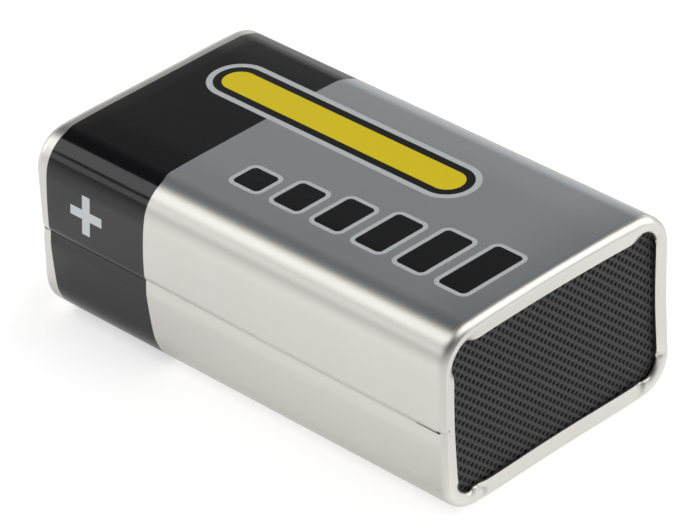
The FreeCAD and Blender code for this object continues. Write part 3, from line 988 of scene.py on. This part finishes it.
@dataclass
class Jacket:
    """The printed steel jacket, wrapped, lapped on its left side and rolled in at both ends."""

    corner: float = 3.3
    corner_steps: int = 20
    sheet: float = 0.25
    # how far each rim sags in the middle of a side
    sag: float = 0.21
    # how far the broad faces fall away on both sides of their flat middle
    crown: float = 0.14
    crown_flat: float = 6.0
    crown_fall: float = 7.0
    crown_level: float = 4.0
    # how closely the places lie along a side, by a corner, by the lap and at its edge
    coarse: float = 0.7
    fine: float = 0.21
    finest: float = 0.06
    by_corner: float = 3.2
    by_lap: float = 2.4
    at_lap: float = 0.5
    least: float = 0.08
    # how closely the stations lie on the flange, near the base, on the wall and round the roll
    flange_steps: int = 8
    near_steps: int = 11
    near_step: float = 0.35
    wall_steps: int = 18
    roll_angles: tuple = (98, 90, 82, 74, 66, 58, 50, 42, 34, 26, 18, 9, 0)
    roll: Roll = Roll()
    lap: Lap = Lap()
    flange: Flange = field(default_factory=Flange)

    def places(self) -> list[Place]:
        """List the places round the jacket, from the lap on the left side, over the front."""
        half_x, half_z = WIDTH / 2, DEPTH / 2
        middle = Vector((0, 0, MIDDLE))
        flat_x, flat_z = half_x - self.corner, half_z - self.corner
        left = (Side.LEFT, Vector((-1, 0, 0)), Vector((0, 0, 1)), flat_z, half_x)
        turns = [
            left,
            (Side.FRONT, Vector((0, 0, 1)), Vector((1, 0, 0)), flat_x, half_z),
            (Side.RIGHT, Vector((1, 0, 0)), Vector((0, 0, -1)), flat_z, half_x),
            (Side.BACK, Vector((0, 0, -1)), Vector((-1, 0, 0)), flat_x, half_z),
            left,
        ]
        places = []
        for index, (side, out, way, flat, away) in enumerate(turns):
            last = index == len(turns) - 1
            for t in self.spread(-flat if index else 0.0, 0.0 if last else flat, flat):
                places.append(Place(out * away + way * t + middle, out, side, t, flat))
            if last:
                break
            after, following, _, after_flat, _ = turns[index + 1]
            hub = out * (away - self.corner) + way * flat + middle
            for k in range(1, self.corner_steps):
                angle = math.pi / 2 * k / self.corner_steps
                normal = (out * math.cos(angle) + following * math.sin(angle)).normalized()
                arc = self.corner * min(angle, math.pi / 2 - angle)
                spot = hub + normal * self.corner
                if k <= self.corner_steps / 2:
                    places.append(Place(spot, normal, side, flat + arc, flat))
                else:
                    places.append(Place(spot, normal, after, -after_flat - arc, after_flat))
        return places

    def spread(self, start: float, stop: float, flat: float) -> list[float]:
        """Space places along a straight run, close together near its ends and the lap.

        Args:
            start: Where it starts.
            stop: Where it ends.
            flat: Half the whole run.

        Returns:
            The distances from the middle.
        """
        values = [start]
        while values[-1] < stop - 1e-6:
            here = values[-1]
            by_lap = flat < MIDDLE and abs(here) < self.by_lap
            gap = self.fine if by_lap or flat - abs(here) < self.by_corner else self.coarse
            if 0.0 in (start, stop) and abs(here) < self.at_lap:
                gap = self.finest
            values.append(min(stop, here + gap))
        if stop - values[-2] < self.least:
            values.pop(-2)
        return values

    def stations(self) -> list[Station]:
        """List the stations from the base opening over both rolls to the terminal opening."""
        rim = [(Part.FLANGE, 1 - k / self.flange_steps) for k in range(self.flange_steps)]
        rim += [(Part.ROLL, angle) for angle in (90 + self.flange.slope, *self.roll_angles)]
        low, high = BASE + self.roll.bend(0)[1], TOP - self.roll.bend(0)[1]
        wall = [low + self.near_step * k for k in range(1, self.near_steps + 1)]
        rest = (high - wall[-1]) / self.wall_steps
        wall += [wall[-1] + rest * k for k in range(1, self.wall_steps)]
        stations = [Station(End.BASE, *spot) for spot in rim]
        stations += [Station(None, Part.WALL, y) for y in wall]
        return stations + [Station(End.TERMINAL, *spot) for spot in reversed(rim)]

    def point(self, place: Place, station: Station, under: bool) -> Vector:
        """Place one vertex of the sheet's outer face.

        Args:
            place: The place round the jacket.
            station: The station along it.
            under: True for the places under the lap's edge.

        Returns:
            The vertex's place in millimetres.
        """
        inward, y = 0.0, station.value
        if station.end is not None:
            wall = place.flat + self.corner
            sag = self.sag * (1 - smooth(min(1.0, abs(place.along) / wall)))
            sag *= 1.0 if station.end is End.BASE else 0.5
            if station.part is Part.ROLL:
                inward, dip = self.roll.bend(station.value)
                sag *= 0.5 + min(station.value, 90) / 180
            else:
                to_wall = wall - abs(place.along)
                inward, dip = self.flange.bend(self.roll, place, to_wall, station.value)
            rim = BASE if station.end is End.BASE else TOP
            y = rim - station.end.value * (dip + sag)
        depth, shift = 0.0, 0.0
        if place.side is Side.LEFT and abs(place.along) <= self.lap.half:
            depth = self.lap.depth(place.along, y, under)
            shift = self.lap.shift(place.along, y)
        if station.part is Part.FLANGE:
            depth *= 0.35 * (1 - station.value)
        point = place.outer - place.out * (inward + depth)
        level = place.outer.z - MIDDLE
        swell = self.crown * smooth((abs(place.outer.x) - self.crown_flat) / self.crown_fall)
        point.z -= math.copysign(swell, level) * smooth(abs(level) / self.crown_level)
        point.z += shift if place.out.x < -0.5 else 0.0
        point.y = y
        return point

    def make(self, outside: bpy.types.Material, inside: bpy.types.Material) -> bpy.types.Object:
        """Build the jacket: a ring that is extruded from station to station and then thickened.

        Args:
            outside: The printed finish.
            inside: The bare sheet.

        Returns:
            The piece.
        """
        places = self.places()
        deselect()
        bpy.ops.mesh.primitive_circle_add(vertices=len(places), radius=1, location=(0, 0, 0))
        piece = named("jacket_sheet")
        bm = edit(piece)
        order = bm.verts.layers.int.new("order")
        for index, vert in enumerate(bm.verts):
            vert[order] = index
        for number, station in enumerate(self.stations()):
            if number:
                bpy.ops.mesh.extrude_region_move(TRANSFORM_OT_translate={"value": (0, 0, 0)})
                bm = bmesh.from_edit_mesh(piece.data)
                order = bm.verts.layers.int["order"]
            for vert in bm.verts:
                if vert.select:
                    under = vert[order] > len(places) / 2
                    vert.co = self.point(places[vert[order]], station, under) * MM
            bmesh.update_edit_mesh(piece.data)
        face_outwards()
        bpy.ops.object.mode_set(mode="OBJECT")
        wall = {"offset": -1, "material_offset": 1, "use_quality_normals": True}
        modify(piece, "sheet", "SOLIDIFY", thickness=self.sheet * MM, **wall)
        for vert in piece.data.vertices:
            vert.co.y = min(TOP * MM, max(BASE * MM, vert.co.y))
        return settle(piece, 38, outside, inside)


@dataclass
class BasePlate:
    """The dark plate in the base opening, moulded all over with small slanted pits."""

    half_width: float = 12.75
    half_depth: float = 8.15
    corner: float = 3.0
    face: float = -23.46
    back: float = -22.5625
    # the lattice of pits, by its two steps across and up the plate
    cells: int = 64
    step_one: tuple = (0.43, -0.39)
    step_two: tuple = (0.43, 0.49)
    ridge: float = 0.06
    pit_wall: float = 0.05
    pit: float = 0.2
    margin: float = 0.35
    cuts: int = 32

    def make(self, finish: bpy.types.Material) -> bpy.types.Object:
        """Build the plate.

        Args:
            finish: The plastic.

        Returns:
            The piece.
        """
        piece = self.lattice()
        self.trim()
        self.press(piece)
        self.thicken(piece)
        return settle(piece, 60, finish)

    def lattice(self) -> bpy.types.Object:
        """Lay a slanted lattice whose cells become the pits."""
        deselect()
        grid = {"x_subdivisions": self.cells, "y_subdivisions": self.cells}
        bpy.ops.mesh.primitive_grid_add(size=1, location=(0, 0, 0), **grid)
        piece = named("base_plate")
        bm = edit(piece)
        for vert in bm.verts:
            one, two = vert.co.x * self.cells, vert.co.y * self.cells
            x = one * self.step_one[0] + two * self.step_two[0]
            z = one * self.step_one[1] + two * self.step_two[1] + MIDDLE
            vert.co = Vector((x, self.face, z)) * MM
        bmesh.update_edit_mesh(piece.data)
        return piece

    def trim(self) -> None:
        """Cut the lattice to the plate's rounded outline."""
        flat_x, flat_z = self.half_width - self.corner, self.half_depth - self.corner
        for index in range(self.cuts):
            angle = math.tau * index / self.cuts
            out = Vector((math.cos(angle), 0, math.sin(angle)))
            x, z = math.copysign(flat_x, out.x), math.copysign(flat_z, out.z)
            edge = (Vector((x, self.face, z + MIDDLE)) + out * self.corner) * MM
            bpy.ops.mesh.select_all(action="SELECT")
            bpy.ops.mesh.bisect(plane_co=edge, plane_no=out, clear_outer=True, threshold=1e-7)

    def press(self, piece: bpy.types.Object) -> None:
        """Press a pit into every whole cell that is clear of the edge, and round it off."""
        face_outwards()
        bm = bmesh.from_edit_mesh(piece.data)
        if sum(f.normal.y for f in bm.faces) > 0:
            bpy.ops.mesh.flip_normals()
        bm = bmesh.from_edit_mesh(piece.data)
        select([f for f in bm.faces if len(f.verts) == 4 and self.inside(f)])
        each = {"use_individual": True, "use_even_offset": True}
        bpy.ops.mesh.inset(thickness=self.ridge * MM, depth=0, **each)
        bpy.ops.mesh.inset(thickness=self.pit_wall * MM, depth=-self.pit * MM, **each)
        bpy.ops.object.mode_set(mode="OBJECT")
        modify(piece, "round", "SUBSURF", levels=1, render_levels=1)

    def thicken(self, piece: bpy.types.Object) -> None:
        """Draw the edge back to the plate's thickness and close it."""
        bm = edit(piece)
        select([e for e in bm.edges if e.is_boundary])
        way = (0, (self.back - self.face) * MM, 0)
        bpy.ops.mesh.extrude_region_move(TRANSFORM_OT_translate={"value": way})
        bpy.ops.mesh.edge_face_add()
        face_outwards()

    def inside(self, face: bmesh.types.BMFace) -> bool:
        """Say if a cell is clear of the plate's edge."""
        place = face.calc_center_median() / MM
        x = abs(place.x) - (self.half_width - self.corner)
        z = abs(place.z - MIDDLE) - (self.half_depth - self.corner)
        gap = math.hypot(max(x, 0), max(z, 0)) + min(max(x, z), 0) - self.corner
        return gap < -self.margin


def eased(corners: tuple, steps: int = 5) -> list[tuple[float, float]]:
    """Round the corners of a half section.

    Args:
        corners: A radius, a height and a rounding for each corner, in millimetres.
        steps: How many edges each rounded corner gets.

    Returns:
        The radius and height of each point.
    """
    points = []
    for index, (radius, height, turn) in enumerate(corners):
        here = Vector((radius, height))
        if not turn:
            points.append((radius, height))
            continue
        before = Vector(corners[index - 1][:2]) - here
        after = Vector(corners[(index + 1) % len(corners)][:2]) - here
        reach = min(turn, before.length * 0.49, after.length * 0.49)
        start, stop = here + before.normalized() * reach, here + after.normalized() * reach
        for k in range(steps + 1):
            t = k / steps
            spot = start * (1 - t) ** 2 + here * 2 * t * (1 - t) + stop * t**2
            points.append((spot.x, spot.y))
    return points


def spun(
    name: str,
    corners: tuple,
    centre: Vector,
    closed: bool = True,
    steps: int = 96,
    start: float = 0.0,
) -> bpy.types.Object:
    """Spin a half section about a line along the battery and leave it in edit mode.

    Args:
        name: The piece's name.
        corners: The section's corners, as eased takes them, with heights above the centre.
        centre: The foot of the line, in millimetres.
        closed: True for a solid section, false for a sheet.
        steps: How many faces go round.
        start: The angle of the first section, in degrees.

    Returns:
        The piece.
    """
    points = eased(corners)
    deselect()
    bpy.ops.mesh.primitive_circle_add(vertices=len(points), radius=1, location=(0, 0, 0))
    piece = named(name)
    bm = edit(piece)
    bm.verts.ensure_lookup_table()
    angle = math.radians(start)
    for vert, (radius, height) in zip(bm.verts, points):
        arm = Vector((radius * math.cos(angle), height, radius * math.sin(angle)))
        vert.co = (centre + arm) * MM
    if not closed:
        ends = {bm.verts[0], bm.verts[len(points) - 1]}
        select([e for e in bm.edges if set(e.verts) == ends])
        bpy.ops.mesh.delete(type="EDGE")
    bpy.ops.mesh.select_all(action="SELECT")
    bpy.ops.mesh.spin(steps=steps, angle=math.tau, center=centre * MM, axis=(0, 1, 0))
    bpy.ops.mesh.select_all(action="SELECT")
    bpy.ops.mesh.remove_doubles(threshold=2e-6)
    face_outwards()
    return piece


@dataclass
class SnapTerminals:
    """The stud and the six-fingered socket of a snap pair, each held by a tubular rivet."""

    spacing: float = 12.7
    board: float = 21.5875
    sheet: float = 0.33
    fingers: int = 6
    slot: float = 9.0
    slot_root: float = 0.5
    rounding: float = 0.05
    # the sections' corners, as radius, height over the board and rounding
    stud_section: tuple = (
        (1.25, 0.0, 0.0),
        (2.98, 0.0, 0.05),
        (2.98, 0.15, 0.08),
        (2.69, 0.36, 0.2),
        (2.69, 1.0, 0.25),
        (2.86, 1.42, 0.3),
        (2.86, 2.65, 0.5),
        (2.24, 2.65, 0.28),
        (2.2, 0.35, 0.35),
        (1.25, 0.35, 0.0),
    )
    socket_section: tuple = (
        (1.28, 0.0, 0.0),
        (3.5, 0.0, 0.6),
        (4.3, 0.72, 0.45),
        (4.24, 1.3, 0.5),
        (3.08, 1.86, 0.4),
        (3.04, 2.22, 0.25),
        (3.42, 2.6, 0.0),
    )
    rivet_section: tuple = (
        (0.8, -1.55, 0.06),
        (1.7, -1.55, 0.12),
        (1.7, -1.25, 0.0),
        (1.2, -1.25, 0.0),
        (1.2, 0.35, 0.0),
        (1.9, 0.35, 0.1),
        (1.86, 0.7, 0.28),
        (0.8, 0.7, 0.3),
    )

    def foot(self, side: int) -> Vector:
        """Give the middle of a terminal on the board, the stud at -1 and the socket at 1."""
        return Vector((self.spacing / 2 * side, self.board, MIDDLE))

    def stud(self, plate: bpy.types.Material) -> bpy.types.Object:
        """Build the stud, a drawn cup with a bead under its rounded mouth."""
        return settle(spun("snap_stud", self.stud_section, self.foot(-1)), 35, plate)

    def rivet(self, name: str, side: int, plate: bpy.types.Material) -> bpy.types.Object:
        """Build a rivet through a terminal, the board and its lead.

        Args:
            name: The piece's name.
            side: The terminal's side.
            plate: The nickel plating.

        Returns:
            The piece.
        """
        return settle(spun(name, self.rivet_section, self.foot(side), steps=64), 35, plate)

    def socket(self, plate: bpy.types.Material) -> bpy.types.Object:
        """Build the socket, a sheet crown slit into six springy fingers.

        Args:
            plate: The nickel plating.

        Returns:
            The piece.
        """
        foot = self.foot(1)
        piece = spun("snap_socket", self.socket_section, foot, closed=False, steps=120, start=1.5)
        bm = bmesh.from_edit_mesh(piece.data)
        pitch = 360 / self.fingers
        slit = []
        for face in bm.faces:
            arm = face.calc_center_median() / MM - foot
            angle = math.degrees(math.atan2(arm.z, arm.x)) % pitch
            if arm.y > self.slot_root and min(angle, pitch - angle) < self.slot / 2:
                slit.append(face)
        select(slit)
        bpy.ops.mesh.delete(type="FACE")
        bpy.ops.object.mode_set(mode="OBJECT")
        modify(piece, "sheet", "SOLIDIFY", thickness=self.sheet * MM, offset=-1)
        edge = {"limit_method": "ANGLE", "angle_limit": math.radians(55)}
        modify(piece, "edges", "BEVEL", width=self.rounding * MM, segments=2, **edge)
        return settle(piece, 40, plate)

    def make(self, plate: bpy.types.Material) -> list[tuple[bpy.types.Object, str]]:
        """Build the pieces.

        Args:
            plate: The nickel plating.

        Returns:
            Each piece with the node that it stands for.
        """
        return [
            (self.stud(plate), "positive_stud"),
            (self.socket(plate), "negative_socket"),
            (self.rivet("stud_rivet", -1, plate), "positive_rivet"),
            (self.rivet("socket_rivet", 1, plate), "negative_rivet"),
        ]


@dataclass(frozen=True)
class Lamp:
    """A soft lamp that faces the battery.

    Way is where it hangs, seen from the battery, along is the way its width runs, size is its
    width and height in metres, and radiance is how bright it looks.
    """

    name: str
    way: tuple
    along: tuple
    size: tuple
    radiance: float

    def hang(self, distance: float) -> None:
        """Hang the lamp at a distance in metres."""
        deselect()
        direction = Vector(self.way).normalized()
        along = Vector(self.along)
        wide = (along - direction * direction.dot(along)).normalized()
        place = direction * distance + Vector((0, 0, MIDDLE * MM))
        bpy.ops.object.light_add(type="AREA", location=place)
        lamp = bpy.context.object
        lamp.name = self.name
        lamp.data.shape = "RECTANGLE"
        lamp.data.size, lamp.data.size_y = self.size
        lamp.data.energy = self.radiance * math.pi * self.size[0] * self.size[1]
        lamp.rotation_mode = "QUATERNION"
        lamp.rotation_quaternion = turned(wide, direction.cross(wide), direction)


def turned(right: Vector, up: Vector, back: Vector) -> Quaternion:
    """Give the turn of a lamp or a camera from its three axes."""
    return Matrix((right, up, back)).transposed().to_quaternion()


@dataclass
class Studio:
    """The pale floor, the soft lights and the camera."""

    azimuth: float = -43.98
    elevation: float = 32.56
    roll: float = -2.65
    distance: float = 390.3
    lens: float = 247.31
    target: tuple = (0.0, -1.0375, 8.5)
    shift: tuple = (0.01, -0.53)
    sensor: float = 36.0
    clip: tuple = (0.01, 20.0)
    # in metres
    floor_size: float = 6.0
    lamp_distance: float = 0.8
    lamps: tuple = (
        Lamp("left_softbox", (-0.36, 0.61, 0.705), (-0.9, 0, -0.4), (0.39, 1.3), 1.5),
        Lamp("left_strip", (-0.69, 0.61, 0.39), (-0.5, 0, -0.87), (0.16, 1.3), 1.0),
        Lamp("right_softbox", (0.585, -0.255, 0.77), (0, -0.95, -0.3), (0.6, 1.3), 1.75),
        Lamp("front_strip", (0.585, -0.738, 0.336), (0, -0.41, -0.91), (0.22, 1.0), 0.7),
        Lamp("back_card", (0.72, 0.62, 0.265), (0.65, -0.75, 0), (1.0, 0.3), 0.4),
    )
    # how high each stop of the sky is, and how bright
    sky: tuple = ((0.05, 0.8), (0.2, 0.5), (0.42, 0.32), (0.56, 0.12), (0.7, 0.06))

    def camera(self) -> None:
        """Stand the camera where the photograph was taken from."""
        az, el, turn = (math.radians(a) for a in (self.azimuth, self.elevation, self.roll))
        back = Vector((math.sin(az) * math.cos(el), -math.cos(az) * math.cos(el), math.sin(el)))
        right = Vector((math.cos(az), math.sin(az), 0))
        up = back.cross(right)
        across = right * math.cos(turn) + up * math.sin(turn)
        above = up * math.cos(turn) - right * math.sin(turn)
        aim = Vector(self.target) + across * self.shift[0] + above * self.shift[1]
        bpy.ops.object.camera_add(location=(aim + back * self.distance) * MM)
        camera = bpy.context.object
        camera.name = "camera"
        camera.data.lens = self.lens
        camera.data.sensor_width = self.sensor
        camera.data.clip_start, camera.data.clip_end = self.clip
        camera.rotation_mode = "QUATERNION"
        camera.rotation_quaternion = turned(across, above, back)
        bpy.context.scene.camera = camera

    def world(self) -> None:
        """Fill the room with soft light, pale at the horizon and dimmer above."""
        world = bpy.data.worlds.new("room")
        bpy.context.scene.world = world
        g = Graph(world)
        height = g.parts(g.add("ShaderNodeTexCoord")["Generated"])[2]
        ramp = g.add("ShaderNodeValToRGB", {0: height})
        stops = ramp.node.color_ramp.elements
        while len(stops) < len(self.sky):
            stops.new(1.0)
        for stop, (position, level) in zip(stops, self.sky):
            stop.position = position
            stop.color = (level, level, level, 1)
        light = g.add("ShaderNodeBackground", {"Color": ramp})
        g.add("ShaderNodeOutputWorld", {"Surface": light})

    def floor(self) -> None:
        """Lay the pale floor."""
        deselect()
        bpy.ops.mesh.primitive_plane_add(size=self.floor_size, location=(0, 0, 0))
        floor = named("floor")
        dress(floor, WhiteCard().make())

    def make(self) -> None:
        """Set up the studio."""
        self.world()
        self.floor()
        for lamp in self.lamps:
            lamp.hang(self.lamp_distance)
        self.camera()


@dataclass
class Inside:
    """The pieces that stay as they are in the frame and only get their finish."""

    frame: dict

    def dress(self) -> dict[str, bpy.types.Material]:
        """Give every node the finish of its slot.

        Returns:
            The finishes by slot.
        """
        made = {slot: finish.make() for slot, finish in NODE_FINISH.items()}
        for name, node in self.frame["nodes"].items():
            slot = node.material_slots[0].material.name.split(".")[0]
            for place in node.material_slots:
                place.material = made[slot]
            LOG.info("%s: %s", name, slot)
        return made


def fit(piece: bpy.types.Object, node: str) -> None:
    """Put a finished piece in its node's place and log it.

    Args:
        piece: The piece.
        node: The node that it stands for.
    """
    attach(piece, "root")
    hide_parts(node)
    LOG.info("%s: %d faces, for %s", piece.name, len(piece.data.polygons), node)


def main() -> None:
    """Load the frame, build every piece and set up the studio."""
    logging.basicConfig(level=logging.INFO, format="%(name)s %(message)s")
    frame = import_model()
    finishes = Inside(frame).dress()
    jacket = Jacket().make(PrintedTinplate().make(), finishes["printed_steel"])
    fit(jacket, "jacket")
    fit(BasePlate().make(PittedPlastic().make()), "base_cover")
    for piece, node in SnapTerminals().make(finishes["nickel_plate"]):
        fit(piece, node)
    Studio().make()
    bpy.context.scene.view_settings.view_transform = "Standard"


if __name__ == "__main__":
    main()
